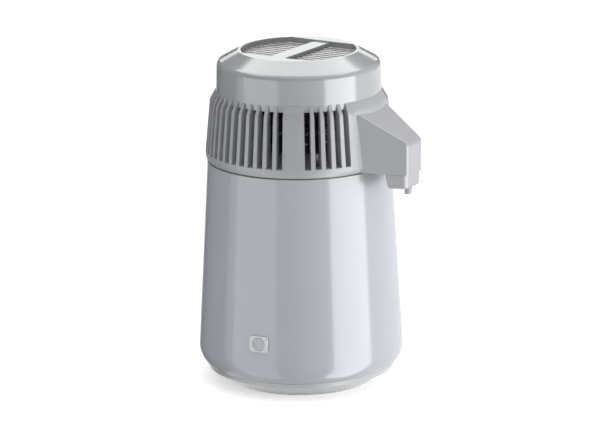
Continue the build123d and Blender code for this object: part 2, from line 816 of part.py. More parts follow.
# Hose hole through the collar, and the fan lead's gland in the rear panel
coil_tier_drop = [0.0]
for i in range(1, coil_turns):
    extra = fin_overlap * 2 + tier_gap - coil_pitch if i % tier_turns == 0 else 0.0
    coil_tier_drop.append(coil_tier_drop[-1] + coil_pitch + extra)
turn_z = [coil_top_z - drop for drop in coil_tier_drop]
hose_z = turn_z[-1]
hose_way = Pos(slot_in_r, hose_y, hose_z) * Rot(0, 90, 0)
vent_ring -= hose_way * extrude(Circle(hose_r + slide_gap), slot_out_r - slot_in_r)
gland_lean = atan(-ring_slope)
gland_out = Vector(cos(radians(rear_angle)) * cos(gland_lean), sin(radians(rear_angle)) * cos(gland_lean),
                   sin(gland_lean))
gland_side = (-sin(radians(rear_angle)), cos(radians(rear_angle)), 0)
gland_plane = Plane(origin=polar(ring_face_r(gland_z), rear_angle, gland_z), x_dir=gland_side, z_dir=gland_out)
vent_ring -= gland_plane * Pos(0, 0, -3 * ring_wall) * extrude(Circle(gland_neck_r), 5 * ring_wall)
nodes["vent_ring"] = vent_ring
nodes["head_deck"] = head_deck
nodes["inner_lid"] = inner_lid
gland = gland_plane * Pos(0, 0, -ring_wall) * extrude(Circle(gland_flange_r), ring_wall + gland_flange_t)
gland -= ring_outside
gland += gland_plane * Pos(0, 0, -2 * ring_wall) * extrude(Circle(gland_neck_r), 2 * ring_wall + sink)
gland_bore = extrude(Circle(gland_bore_r), 2 * ring_wall + gland_flange_t + 2 * overcut)
gland -= gland_plane * Pos(0, 0, -2 * ring_wall - overcut) * gland_bore
nodes["fan_lead_gland"] = gland

# top_cap: turned shell with the recess, its wall, the grille seat and the centre bar
recess_r = rim_r - rim_land


def recess_face(grow):
    flat = Rectangle(2 * (recess_r + grow), 2 * (recess_flat + grow))
    return Circle(recess_r + grow) & flat


def recess_solid(grow, low, high):
    return Pos(0, 0, low) * extrude(recess_face(grow), high - low)


cap_points = [(cap_skirt_r, skirt_z), (cap_shoulder_r, cap_shoulder_z), (rim_r, rim_z), (0, rim_z)]
cap_in_points = [
    (cap_skirt_r - cap_wall, skirt_z - overcut),
    (cap_shoulder_r - cap_wall, cap_shoulder_z - 0.5 * cap_wall),
    (rim_r - 0.5 * cap_wall, rim_z - cap_wall),
    (0, rim_z - cap_wall),
]


def cap_solid(points, shoulder_round):
    wall = FilletPolyline(points[0], points[1], points[2], radius=shoulder_round)
    rest = Polyline(points[2], points[3], (0, points[0][1]), points[0])
    return revolve(Plane.XZ * make_face(Curve() + [wall, rest]), Axis.Z)


top_cap = cap_solid(cap_points, cap_shoulder_round) - cap_solid(cap_in_points, cap_shoulder_round - cap_wall)
grille_top = rim_z - grille_drop
grille_low = grille_top - grille_t
seat_low = grille_low - grille_seat_t
top_cap += recess_solid(recess_wall, seat_low, rim_z - cap_wall / 2)
top_cap -= recess_solid(0.0, grille_low, rim_z + overcut)
top_cap -= recess_solid(-grille_seat_width, seat_low - overcut, grille_low + overcut)
bar_top = rim_z - bar_drop
bar = block(bar_width, 2 * recess_flat + recess_wall, bar_top - bar_t, bar_top)
bar = fillet(bar.edges().filter_by(Axis.Y).group_by(Axis.Z)[-1], bar_edge_r)
top_cap += bar
bracket_top = bracket_z + bracket_t
bracket_screws = []
bracket = block(bracket_width, 2 * (bracket_boss_y + bracket_boss_r), bracket_z, bracket_top)
for side in (-1, 1):
    y = side * bracket_boss_y
    top_cap += pin(0, y, bracket_boss_r, bracket_top, rim_z - cap_wall / 2)
    screw_end = bracket_z + bracket_screw_length
    top_cap -= pin(0, y, screw_r, bracket_top - overcut, screw_end + hole_spare)
    bracket -= pin(0, y, screw_r, bracket_z - overcut, bracket_top + overcut)
    shank = pin(0, y, screw_r, bracket_z - sink, screw_end)
    bracket_screws.append(shank + pin(0, y, screw_head_r, bracket_z - screw_head_h, bracket_z))
nodes["top_cap"] = top_cap
nodes["bracket_screws"] = group(bracket_screws)

# top_grille: slats across the recess on a thin carrier under the bar and round the edge
grille_area = recess_solid(-snug_gap, grille_low, grille_top)
slats = []
slat_count = 2 * int((recess_flat - slat_width / 2) / slat_pitch) + 1
for i in range(slat_count):
    y = (i - (slat_count - 1) / 2) * slat_pitch
    slat = block(2 * rim_r, slat_width, grille_low, grille_top, 0, y)
    slats.append(fillet(slat.edges().filter_by(Axis.X).group_by(Axis.Z)[-1], slat_round))
carrier_top = grille_low + grille_t / 2
carrier = recess_solid(-snug_gap, grille_low, carrier_top)
carrier -= recess_solid(-snug_gap - grille_seat_width, grille_low - overcut, carrier_top + overcut)
spine_width = bar_width - 2 * grille_spine_inset
carrier += block(spine_width, 2 * (recess_flat - grille_seat_width / 2), grille_low, carrier_top)
top_grille = grille_area & (Part() + slats + carrier)
nodes["top_grille"] = top_grille

# motor_bracket, fan_motor and its screws: the motor hangs under the bracket
motor_low = bracket_z - motor_height
motor = tube(motor_r, 0, motor_low, bracket_z)
motor = fillet(motor.edges().filter_by(GeomType.CIRCLE), motor_edge_r)
motor += tube(motor_neck_r, 0, motor_low - motor_neck_h, motor_low + 1)
shaft_top = bracket_z - shaft_end_drop
motor -= pin(0, 0, shaft_r + run_gap, motor_low - motor_neck_h - overcut, shaft_top + hole_spare)
motor_screws = []
for side in (-1, 1):
    y = side * motor_screw_y
    hole_low = bracket_z - motor_hole_depth
    motor -= pin(0, y, screw_r, hole_low, bracket_z + overcut)
    bracket -= pin(0, y, screw_r, bracket_z - overcut, bracket_top + overcut)
    shank = pin(0, y, screw_r, hole_low + hole_spare, bracket_top + sink)
    motor_screws.append(shank + pin(0, y, screw_head_r, bracket_top, bracket_top + screw_head_h))
nodes["motor_bracket"] = bracket
nodes["fan_motor"] = motor
nodes["motor_screws"] = group(motor_screws)

# fan_rotor, motor_shaft and fan_nut turn together
hub_top = motor_low - motor_neck_h - hub_drop
hub_low = hub_top - hub_height
hub_mid = (hub_top + hub_low) / 2
hub = tube(hub_r, 0, hub_low, hub_top)
hub = fillet(hub.edges().filter_by(GeomType.CIRCLE).group_by(Axis.Z)[0], hub_edge_r)


def blade_section(radius, chord, tilt):
    plane = Plane(origin=(radius, 0, hub_mid), x_dir=(0, 1, 0), z_dir=(1, 0, 0))
    return plane * Rot(0, 0, tilt) * Rectangle(chord, blade_t)


blade = loft([blade_section(hub_r - blade_sink, blade_root, blade_root_tilt),
              blade_section(blade_r, blade_tip, blade_tip_tilt)])
fan_rotor = hub.fuse(*[(Rot(0, 0, angle) * blade).solid() for angle in around(blade_count)])
fan_rotor -= pin(0, 0, shaft_r, hub_low - overcut, hub_top + overcut)
nodes["fan_rotor"] = fan_rotor
nut_bottom = hub_low - fan_nut_h
nodes["motor_shaft"] = pin(0, 0, shaft_r, nut_bottom - shaft_past_nut, shaft_top)
fan_nut = Pos(0, 0, nut_bottom) * extrude(RegularPolygon(fan_nut_r, 6), fan_nut_h)
nodes["fan_nut"] = fan_nut - pin(0, 0, shaft_r, nut_bottom - overcut, hub_low + overcut)

# condenser_tube: level turns, each stepping down to the next behind the spout's collar
level_sweep = 360.0 + coil_end_angle - coil_start_angle


def along(angle):
    return Vector(-sin(radians(angle)), cos(radians(angle)), 0)


entry = polar(coil_r, coil_start_angle, turn_z[0])
entry_way = along(coil_start_angle)
entry_out = polar(1.0, coil_start_angle)
bend_end = entry - entry_way * (2 * coil_tube_r)
bend_start = bend_end - entry_way * coil_entry_bend - entry_out * coil_entry_bend
tube_start = bend_start - entry_out * (2 * coil_tube_r)
coil_edges = [
    Line(tube_start, bend_start),
    TangentArc(bend_start, bend_end, tangent=entry_out),
    Line(bend_end, entry),
]
for i, z in enumerate(turn_z):
    for half in (0, 1):
        start_angle = coil_start_angle + half * level_sweep / 2
        coil_edges.append(Pos(0, 0, z) * CenterArc((0, 0), coil_r, start_angle, level_sweep / 2))
    if i + 1 < len(turn_z):
        leave = polar(coil_r, coil_end_angle, z)
        middle_angle = (coil_end_angle + coil_start_angle) / 2
        middle = polar(coil_r, middle_angle, (z + turn_z[i + 1]) / 2)
        reach = polar(coil_r, coil_start_angle, turn_z[i + 1])
        fall = coil_step_steepness * (turn_z[i + 1] - z) / (radians(coil_start_angle - coil_end_angle) * coil_r)
        middle_way = (along(middle_angle) + Vector(0, 0, fall)).normalized()
        coil_edges += biarc(leave, along(coil_end_angle), middle, middle_way)
        coil_edges += biarc(middle, middle_way, reach, along(coil_start_angle))
coil_end = polar(coil_r, coil_end_angle, turn_z[-1])
coil_out_way = along(coil_end_angle)
stub_end = coil_end + coil_out_way * coil_stub
coil_edges.append(Line(coil_end, stub_end))
print("condenser tube: least gap to itself", round(least_gap(coil_edges, coil_tube_r), 2))
nodes["condenser_tube"] = swept(Wire(coil_edges), coil_tube_r, coil_tube_r - coil_tube_wall)

# condenser_fins: upright plates pressed on the turns, in two tiers
tiers = [turn_z[i:i + tier_turns] for i in range(0, coil_turns, tier_turns)]
fin_count = int((level_sweep - 2 * fin_margin) / fin_step) + 1
fin_first = coil_start_angle + (level_sweep - (fin_count - 1) * fin_step) / 2
condenser_fins = []
for tier in tiers:
    fin_low = tier[-1] - fin_overlap
    fin_high = tier[0] + fin_overlap
    holes = [Pos(coil_r, z) * Circle(coil_tube_r + run_gap) for z in tier]
    plate = Pos((fin_in_r + fin_out_r) / 2, (fin_low + fin_high) / 2) * Rectangle(
        fin_out_r - fin_in_r, fin_high - fin_low)
    plate -= holes
    plate = extrude(Plane.XZ * plate, fin_t / 2, both=True)
    condenser_fins += [Rot(0, 0, fin_first + i * fin_step) * plate for i in range(fin_count)]
nodes["condenser_fins"] = group(condenser_fins)

# coil_stands: posts between the deck and the lower fins
fins_low = tiers[-1][-1] - fin_overlap
fin_mid_r = (fin_in_r + fin_out_r) / 2
coil_stands = []
for angle in around(stand_count, 45.0):
    post = block(stand_width, stand_t, shelf_z, fins_low, fin_mid_r, 0)
    coil_stands.append(Rot(0, 0, angle) * post)
nodes["coil_stands"] = group(coil_stands)

# steam_pipe and steam_manifold: from the lid's hole, out under the fan and up to the coil
manifold_centre = tube_start - entry_out * (manifold_side / 2)
manifold_low = turn_z[0] - manifold_height / 2
manifold = extrude(Rectangle(manifold_side, manifold_side), manifold_height)
nodes["steam_manifold"] = Pos(manifold_centre.X, manifold_centre.Y, manifold_low) * Rot(
    0, 0, coil_start_angle) * manifold
pipe_path = FilletPolyline(
    (0, 0, lid_top + steam_flange_t),
    (0, 0, steam_pipe_z),
    (manifold_centre.X, manifold_centre.Y, steam_pipe_z),
    (manifold_centre.X, manifold_centre.Y, manifold_low),
    radius=steam_pipe_bend,
)
pipe_bore_r = steam_pipe_r - steam_pipe_wall
steam_pipe = swept(pipe_path, steam_pipe_r, pipe_bore_r)
steam_pipe += tube(steam_flange_r, pipe_bore_r, lid_top, lid_top + steam_flange_t)
nodes["steam_pipe"] = steam_pipe

# spout_housing: hollow arm moulding whose root follows the vent ring
arm_low = ring_z - arm_drop


def arm_plan(inset):
    """Outline of the arm seen from above, drawn in by inset."""
    side_inset = inset * sqrt(1 + arm_taper ** 2)
    x_end = arm_end_x - inset
    half_root = arm_half(arm_root_x) - side_inset
    half_end = arm_half(x_end) - side_inset
    outline = make_face(Polyline(
        (arm_root_x, -half_root), (x_end, -half_end), (x_end, half_end), (arm_root_x, half_root), close=True))
    return fillet(outline.vertices().group_by(Axis.X)[-1], arm_end_round - inset * arm_inner_round)


def arm_solid(inset, low):
    """The arm as a solid from low up to its sloping top, drawn in by inset."""
    x_end = arm_end_x - inset
    z_end = arm_end_z + arm_top_slope * inset - inset * sqrt(1 + arm_top_slope ** 2)
    z_root = z_end + arm_top_slope * (x_end - arm_root_x)
    side = make_face(Polyline(
        (arm_root_x, low), (x_end, low), (x_end, z_end), (arm_root_x, z_root), close=True))
    brow = side.vertices().sort_by_distance((x_end, z_end, 0))[0]
    side = fillet(brow, arm_brow_round - inset * arm_inner_round)
    prism = Pos(0, 0, low) * extrude(arm_plan(inset), z_root - low)
    return prism & extrude(Plane.XZ * side, 2 * rim_r, both=True)


arm_outside = arm_solid(0.0, arm_low)
spout_housing = arm_outside - arm_solid(arm_wall, arm_low - arm_wall) - ring_outside
nodes["spout_housing"] = spout_housing

# spout_floor: plate in the arm's open underside, with the socket for the nozzle's neck
nozzle_end_x = arm_end_x - nozzle_end_inset
socket_r = nozzle_neck_r + slide_gap
neck_x = arm_end_x - arm_wall - slide_gap - nozzle_socket_wall - socket_r
floor_t = arm_wall
spout_floor = Pos(0, 0, arm_low) * extrude(arm_plan(arm_wall + snug_gap), floor_t)
spout_floor -= tube(band_r + seat_gap, 0, arm_low - overcut, slot_z)
socket_top = arm_low + nozzle_neck_h
spout_floor += pin(neck_x, 0, socket_r + nozzle_socket_wall, arm_low + floor_t / 2, socket_top)
spout_floor -= pin(neck_x, 0, socket_r, arm_low - overcut, socket_top + overcut)
nodes["spout_floor"] = spout_floor

# distillate_hose: silicone hose from the coil's stub to the outlet over the nozzle
hose_bottom = socket_top + hose_clear
hose_start = stub_end - coil_out_way * hose_on_stub
meet = stub_end + coil_out_way * ((hose_y - stub_end.Y) / coil_out_way.Y)
hose_path = FilletPolyline(
    hose_start,
    meet,
    (hose_out_x, hose_y, hose_z),
    (neck_x, 0, hose_z),
    (neck_x, 0, hose_bottom),
    radius=list(hose_bends),
)
nodes["distillate_hose"] = swept(hose_path, hose_r, coil_tube_r + run_gap)

# nozzle_cup: push-fit cup under the arm's end
nozzle_top = arm_low - seat_gap
nozzle_low = nozzle_top - nozzle_height


def nozzle_plan(inset):
    low_x = nozzle_in_x + inset
    high_x = nozzle_end_x - inset
    half_low = arm_half(low_x) - nozzle_side_inset - inset
    half_high = arm_half(high_x) - nozzle_side_inset - inset
    outline = make_face(Polyline(
        (low_x, -half_low), (high_x, -half_high), (high_x, half_high), (low_x, half_low), close=True))
    outer = outline.vertices().group_by(Axis.X)[-1]
    outline = fillet(outer, nozzle_corner_r - inset)
    inner = outline.vertices().group_by(Axis.X)[0]
    return fillet(inner, nozzle_inner_corner_r - inset)


def nozzle_solid(inset, low, high, round_floor=False):
    prism = Pos(0, 0, low) * extrude(nozzle_plan(inset), high - low)
    heel = (nozzle_in_x + inset + nozzle_slant, nozzle_low)
    side = make_face(Polyline(
        (nozzle_in_x + inset, nozzle_top),
        heel,
        (nozzle_end_x + overcut, nozzle_low),
        (nozzle_end_x + overcut, nozzle_top),
        close=True))
    if round_floor:
        prism = fillet(prism.edges().group_by(Axis.Z)[0], nozzle_floor_round)
        side = fillet(side.vertices().sort_by_distance((heel[0], heel[1], 0))[0], nozzle_heel_round)
    return prism & extrude(Plane.XZ * side, 2 * rim_r, both=True)


nozzle_cup = nozzle_solid(0.0, nozzle_low, nozzle_top, round_floor=True)
nozzle_cup -= nozzle_solid(nozzle_wall, nozzle_low + nozzle_wall, nozzle_top)
nozzle_cup -= nozzle_solid(nozzle_wall / 2, nozzle_top - nozzle_lid_t, nozzle_top)
nozzle_cup += pin(outlet_x, 0, outlet_r, nozzle_low - outlet_length, nozzle_low + nozzle_wall / 2)
nozzle_cup -= pin(outlet_x, 0, outlet_bore_r, nozzle_low - outlet_length - overcut, nozzle_low + nozzle_wall + overcut)
nodes["nozzle_cup"] = nozzle_cup

# nozzle_lid: deck of the cup with the neck that pushes into the spout's socket
neck_top = nozzle_top + nozzle_neck_h
neck_in_r = nozzle_neck_r - nozzle_neck_wall
nozzle_lid = nozzle_solid(nozzle_wall / 2 + snug_gap, nozzle_top - nozzle_lid_t, nozzle_top)
nozzle_lid += pin(neck_x, 0, nozzle_neck_r, nozzle_top - nozzle_lid_t, neck_top)
nozzle_lid -= pin(neck_x, 0, neck_in_r, nozzle_top - nozzle_lid_t - overcut, neck_top + overcut)
nodes["nozzle_lid"] = nozzle_lid

# nozzle_seal: silicone sleeve on the neck
seal_low = nozzle_top + nozzle_neck_h / 2 - nozzle_seal_h / 2
seal_high = seal_low + nozzle_seal_h
nozzle_seal = pin(neck_x, 0, socket_r - run_gap, seal_low, seal_high)
nodes["nozzle_seal"] = nozzle_seal - pin(neck_x, 0, nozzle_neck_r, seal_low - overcut, seal_high + overcut)

# filter_cup: perforated basket hung in the neck, with the carbon sachet in it
filter_r = neck_in_r - snug_gap
filter_low = neck_top + filter_lip_t - filter_depth
filter_top = neck_top + filter_lip_t
sachet_low = filter_low + filter_wall
filter_cup = pin(neck_x, 0, filter_r, filter_low, filter_top)
filter_cup += pin(neck_x, 0, nozzle_neck_r, neck_top, filter_top)
filter_cup -= pin(neck_x, 0, filter_r - filter_wall, sachet_low, filter_top + overcut)
for hole_ring_r, count in filter_hole_rings:
    for angle in around(count):
        spot = polar(hole_ring_r, angle)
        filter_cup -= pin(neck_x + spot.X, spot.Y, filter_hole_r, filter_low - overcut, sachet_low + overcut)
nodes["filter_cup"] = filter_cup
sachet = pin(neck_x, 0, filter_r - filter_wall - slide_gap, sachet_low, sachet_low + sachet_height)
nodes["carbon_sachet"] = fillet(sachet.edges(), sachet_round)

for name, shape in nodes.items():
    export_step(shape, f"parts/{name}.step")
print(len(nodes), "nodes")
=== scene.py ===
import json
from math import cos, pi, radians, sin, tan

import bpy
from mathutils import Matrix, Vector


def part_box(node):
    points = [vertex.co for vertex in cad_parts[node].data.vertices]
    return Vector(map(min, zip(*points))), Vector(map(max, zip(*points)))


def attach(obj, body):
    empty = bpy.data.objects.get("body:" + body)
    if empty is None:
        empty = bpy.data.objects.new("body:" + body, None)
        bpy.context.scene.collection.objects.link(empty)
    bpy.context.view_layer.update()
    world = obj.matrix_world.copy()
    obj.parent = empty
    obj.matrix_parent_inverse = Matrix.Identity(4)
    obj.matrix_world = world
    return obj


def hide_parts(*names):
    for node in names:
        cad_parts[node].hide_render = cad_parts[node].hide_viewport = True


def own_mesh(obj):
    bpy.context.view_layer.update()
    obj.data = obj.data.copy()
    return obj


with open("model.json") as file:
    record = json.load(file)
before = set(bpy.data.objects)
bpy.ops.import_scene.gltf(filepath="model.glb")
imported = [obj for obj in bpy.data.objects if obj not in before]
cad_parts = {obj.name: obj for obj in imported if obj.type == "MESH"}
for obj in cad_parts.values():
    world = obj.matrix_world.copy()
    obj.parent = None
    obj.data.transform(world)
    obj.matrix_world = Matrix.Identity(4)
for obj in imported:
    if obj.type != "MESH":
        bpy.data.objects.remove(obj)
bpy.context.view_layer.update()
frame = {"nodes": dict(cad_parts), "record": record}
bpy.context.scene.view_settings.view_transform = "Standard"

# Foot ring: one hoop of matt black rubber, compression moulded with a fine grain.
# It is pressed into the groove under the tray, and is the only piece that meets the table.
clouds_per_metre = 14.0
cloud_detail = 3.0
cloud_dark = 0.3
cloud_light = 0.7
gloss_spread = 0.1
coat_roughness = 0.12
grains_per_metre = 1400.0
grain_detail = 2.0
grain_strength = 0.5
seam_gap = 0.000002
flat_bend = radians(0.3)


def surface_finish(name, colour, roughness, grain=0.00001, coat=0.0, mottle=0.012, metallic=0.0):
    """Skin of a moulded or worked surface: faint clouding, uneven gloss and a fine grain."""
    material = bpy.data.materials.new(name)
    material.use_nodes = True
    made = material.node_tree.nodes
    join = material.node_tree.links.new
    skin = made["Principled BSDF"]
    skin.inputs["Metallic"].default_value = metallic
    skin.inputs["Coat Weight"].default_value = coat
    skin.inputs["Coat Roughness"].default_value = coat_roughness
    place = made.new("ShaderNodeTexCoord")
    cloud = made.new("ShaderNodeTexNoise")
    cloud.inputs["Scale"].default_value = clouds_per_metre
    cloud.inputs["Detail"].default_value = cloud_detail
    join(place.outputs["Object"], cloud.inputs["Vector"])
    tint = made.new("ShaderNodeValToRGB")
    tint.color_ramp.elements[0].position = cloud_dark
    tint.color_ramp.elements[1].position = cloud_light
    tint.color_ramp.elements[0].color = [*(c * (1 - mottle) for c in colour), 1.0]
    tint.color_ramp.elements[1].color = [*(min(1.0, c * (1 + mottle)) for c in colour), 1.0]
    join(cloud.outputs["Fac"], tint.inputs["Fac"])
    join(tint.outputs["Color"], skin.inputs["Base Color"])
    gloss = made.new("ShaderNodeMapRange")
    gloss.inputs["To Min"].default_value = roughness * (1 - gloss_spread)
    gloss.inputs["To Max"].default_value = roughness * (1 + gloss_spread)
    join(cloud.outputs["Fac"], gloss.inputs["Value"])
    join(gloss.outputs["Result"], skin.inputs["Roughness"])
    fine = made.new("ShaderNodeTexNoise")
    fine.inputs["Scale"].default_value = grains_per_metre
    fine.inputs["Detail"].default_value = grain_detail
    join(place.outputs["Object"], fine.inputs["Vector"])
    bump = made.new("ShaderNodeBump")
    bump.inputs["Strength"].default_value = grain_strength
    bump.inputs["Distance"].default_value = grain
    join(fine.outputs["Fac"], bump.inputs["Height"])
    join(bump.outputs["Normal"], skin.inputs["Normal"])
    return material


bodies = frame["record"]["behaviour"]["bodies"]
node_body = {node: body for body, members in bodies.items() for node in members}


def alone(piece):
    """Selects one piece and nothing else."""
    bpy.ops.object.select_all(action="DESELECT")
    piece.select_set(True)
    bpy.context.view_layer.objects.active = piece


def stands_for(piece, material, *names):
    """Finishes a new piece and puts it in the place of the nodes that it shows."""
    piece.data.materials.clear()
    piece.data.materials.append(material)
    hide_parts(*names)
    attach(piece, node_body[names[0]])


def even_shading(piece, sharp):
    """Shades curves smoothly up to the real edges, and keeps flat faces flat beside them."""
    alone(piece)
    bpy.ops.object.shade_smooth_by_angle(angle=radians(sharp))
    shading = piece.modifiers.new("shading", "WEIGHTED_NORMAL")
    shading.keep_sharp = True
    bpy.ops.object.modifier_apply(modifier=shading.name)


def merged_copy(name):
    """Copy of a node's mesh with its seams merged and its flat faces whole."""
    piece = bpy.data.objects.new(name + "_skin", frame["nodes"][name].data.copy())
    bpy.context.scene.collection.objects.link(piece)
    alone(piece)
    bpy.ops.object.mode_set(mode="EDIT")
    bpy.ops.mesh.select_all(action="SELECT")
    bpy.ops.mesh.remove_doubles(threshold=seam_gap)
    bpy.ops.mesh.dissolve_limited(angle_limit=flat_bend)
    bpy.ops.object.mode_set(mode="OBJECT")
    return piece


def fair_skin(name, material, sharp=32.0):
    """Skin of a node whose curves shade smoothly up to its real edges."""
    piece = merged_copy(name)
    even_shading(piece, sharp)
    stands_for(piece, material, name)
    return piece


foot_rubber = surface_finish("foot_rubber", (0.05, 0.05, 0.05), roughness=0.75, grain=0.00004)
fair_skin("foot_ring", foot_rubber)

# Base tray: white moulded foot that flares in two steps from just above the table to the casing.
# A spigot inside centres the casing, and four bosses take the base plate's screws.
round_steps = 192
boss_sides = 40
bore_sides = 32
mould_bend = 28.0
edge_segments = 3
seed_side = 0.0010


def tidy_shell():
    """Closes the seam of the shell in hand and turns its faces outwards."""
    bpy.ops.mesh.select_all(action="SELECT")
    bpy.ops.mesh.remove_doubles(threshold=seam_gap)
    bpy.ops.mesh.normals_make_consistent(inside=False)
    bpy.ops.object.mode_set(mode="OBJECT")


def settle(piece):
    """Leaves a piece at the origin, unturned, with its place in its mesh."""
    alone(piece)
    bpy.ops.object.transform_apply(location=True, rotation=True, scale=True)


def spun_shell(name, outline):
    """Round shell: one corner is drawn out along a closed outline of (radius, height), then spun."""
    bpy.ops.object.select_all(action="DESELECT")
    start = outline[0]
    bpy.ops.mesh.primitive_plane_add(size=seed_side, location=(start[0], 0.0, start[1]))
    piece = bpy.context.object
    piece.name = name
    settle(piece)
    bpy.ops.object.mode_set(mode="EDIT")
    bpy.ops.mesh.select_all(action="SELECT")
    bpy.ops.mesh.merge(type="CENTER")
    for here, there in zip(outline, outline[1:] + outline[:1]):
        step = (there[0] - here[0], 0.0, there[1] - here[1])
        bpy.ops.mesh.extrude_region_move(TRANSFORM_OT_translate={"value": step})
    bpy.ops.mesh.select_all(action="SELECT")
    bpy.ops.mesh.spin(steps=round_steps, angle=2 * pi, center=(0.0, 0.0, 0.0), axis=(0.0, 0.0, 1.0))
    tidy_shell()
    return piece


def upright_peg(spot, radius, low, high, sides):
    """Round peg that stands on a spot in plan, from one height to another."""
    bpy.ops.object.select_all(action="DESELECT")
    bpy.ops.mesh.primitive_cylinder_add(vertices=sides, radius=radius, depth=high - low,
                                        location=(*spot, (low + high) / 2))
    peg = bpy.context.object
    settle(peg)
    return peg


def square_block(centre, size):
    """Square-edged block of a size about its centre."""
    bpy.ops.object.select_all(action="DESELECT")
    bpy.ops.mesh.primitive_cube_add(size=1.0, location=centre)
    block = bpy.context.object
    block.scale = size
    settle(block)
    return block


def combine(piece, other, operation):
    """Works another shape into a piece, and throws the other shape away."""
    alone(piece)
    change = piece.modifiers.new("change", "BOOLEAN")
    change.operation = operation
    change.object = other
    change.solver = "EXACT"
    bpy.ops.object.modifier_apply(modifier=change.name)
    bpy.data.objects.remove(other)


def cut_out(piece, *tools):
    """Cuts the tools' shapes out of a piece."""
    for tool in tools:
        combine(piece, tool, "DIFFERENCE")


def join_on(piece, addition):
    """Joins another block to a piece as one solid."""
    combine(piece, addition, "UNION")


def eased(piece, width):
    """Rounds a piece's sharp edges a little, as a mould does, and shades its curves smoothly."""
    alone(piece)
    edge = piece.modifiers.new("edge", "BEVEL")
    edge.limit_method = "ANGLE"
    edge.angle_limit = radians(mould_bend)
    edge.width = width
    edge.segments = edge_segments
    bpy.ops.object.modifier_apply(modifier=edge.name)
    even_shading(piece, mould_bend)


tray_white = surface_finish("tray_white", (0.55, 0.56, 0.575), roughness=0.22)
tray_low = 0.0012
foot_out_r = 0.0830
foot_in_r = 0.0720
groove_out_r = 0.0805
groove_in_r = 0.0745
groove_top = 0.0030
flare_r = 0.1015
flare_top = 0.0140
neck_top = 0.0148
belt = (0.1050, 0.0151)
lip_low = 0.0200
tray_out_r = 0.1075
tray_top = 0.0210
tray_edge = 0.0005
spigot_out_r = 0.1055
spigot_in_r = 0.1031
spigot_top = 0.0270
spigot_foot = 0.01772
flare_in_top = 0.01692
floor_low = 0.0062
floor_top = 0.0092
floor_out_r = 0.09034
floor_hole_r = 0.0620
outer_side = [(foot_out_r, tray_low), (flare_r, flare_top), (flare_r, neck_top), belt,
              (tray_out_r, lip_low), (tray_out_r, tray_top - tray_edge), (tray_out_r - tray_edge, tray_top)]
inner_side = [(spigot_out_r, tray_top), (spigot_out_r, spigot_top), (spigot_in_r, spigot_top),
              (spigot_in_r, spigot_foot), (flare_r, flare_in_top), (floor_out_r, floor_top)]
underside = [(floor_hole_r, floor_top), (floor_hole_r, floor_low), (foot_in_r, floor_low),
             (foot_in_r, tray_low), (groove_in_r, tray_low), (groove_in_r, groove_top),
             (groove_out_r, groove_top), (groove_out_r, tray_low)]
tray = spun_shell("tray_shell", outer_side + inner_side + underside)
tray_boss_way = 0.0670
tray_boss_r = 0.0040
tray_boss_low = 0.0082
tray_boss_top = 0.0152
screw_bore_r = 0.0015
tray_bore_low = -0.0048
tray_bore_top = 0.0252
for corner in range(4):
    boss_turn = radians(45.0 + 90.0 * corner)
    boss_spot = (tray_boss_way * cos(boss_turn), tray_boss_way * sin(boss_turn))
    join_on(tray, upright_peg(boss_spot, tray_boss_r, tray_boss_low, tray_boss_top, boss_sides))
    cut_out(tray, upright_peg(boss_spot, screw_bore_r, tray_bore_low, tray_bore_top, bore_sides))
eased(tray, width=0.0002)
stands_for(tray, tray_white, "base_tray")

# Base plate, its screws, tie bolts and nuts, and the thermostats' strap: pressed and turned
# steel, zinc plated. They close the underside and pull the pot down on the casing.
zinc = surface_finish("zinc_plate", (0.55, 0.56, 0.56), roughness=0.38, grain=0.00002, mottle=0.05,
                      metallic=1.0)
for name in ("base_plate", "base_screws", "tie_bolts", "tie_nuts", "thermostat_clip", "clip_screw"):
    fair_skin(name, zinc)

# Outer casing: one tall tapering shell in glossy white plastic with a rounded heel.
# It stands on the tray's spigot and carries the pot on a ledge inside its mouth.
casing_white = surface_finish("casing_white", (0.475, 0.495, 0.53), roughness=0.14, grain=0.000003)
casing_foot = (0.1080, tray_top)
casing_wide = (0.1150, 0.0404)
casing_mouth = (0.1029, 0.2516)
casing_wall = 0.0022
ledge_top = 0.2492
ledge_inner = 0.0954
heel_steps = 14
flank_steps = 60
inner_flank_steps = 8
button_height = 0.0665
button_bore_r = 0.0085
button_bore_sides = 64
inlet_window = (0.0282, 0.0212, 0.0500)
fan_window = (0.0202, 0.0122, 0.0800)
through_wall = 0.0300
flank_way = Vector((casing_wide[0] - casing_mouth[0], casing_wide[1] - casing_mouth[1])).normalized()
inward = Vector((flank_way.y, -flank_way.x))
to_foot = Vector(casing_foot) - Vector(casing_wide)
heel_r = to_foot.length_squared / (2 * to_foot.dot(inward))
heel_centre = Vector(casing_wide) + inward * heel_r
heel_turn = (-inward).angle(Vector(casing_foot) - heel_centre)


def heel_ring(share, inset):
    """Place on the rounded heel, from the widest ring at 0 to the foot at 1."""
    turn = heel_turn * share
    out = -inward * cos(turn) + flank_way * sin(turn)
    place = heel_centre + out * (heel_r - inset)
    return place.x, place.y


def flank_ring(share, inset):
    """Place on the straight flank, from the mouth at 0 to the widest ring at 1."""
    place = Vector(casing_mouth).lerp(Vector(casing_wide), share) + inward * inset
    return place.x, place.y


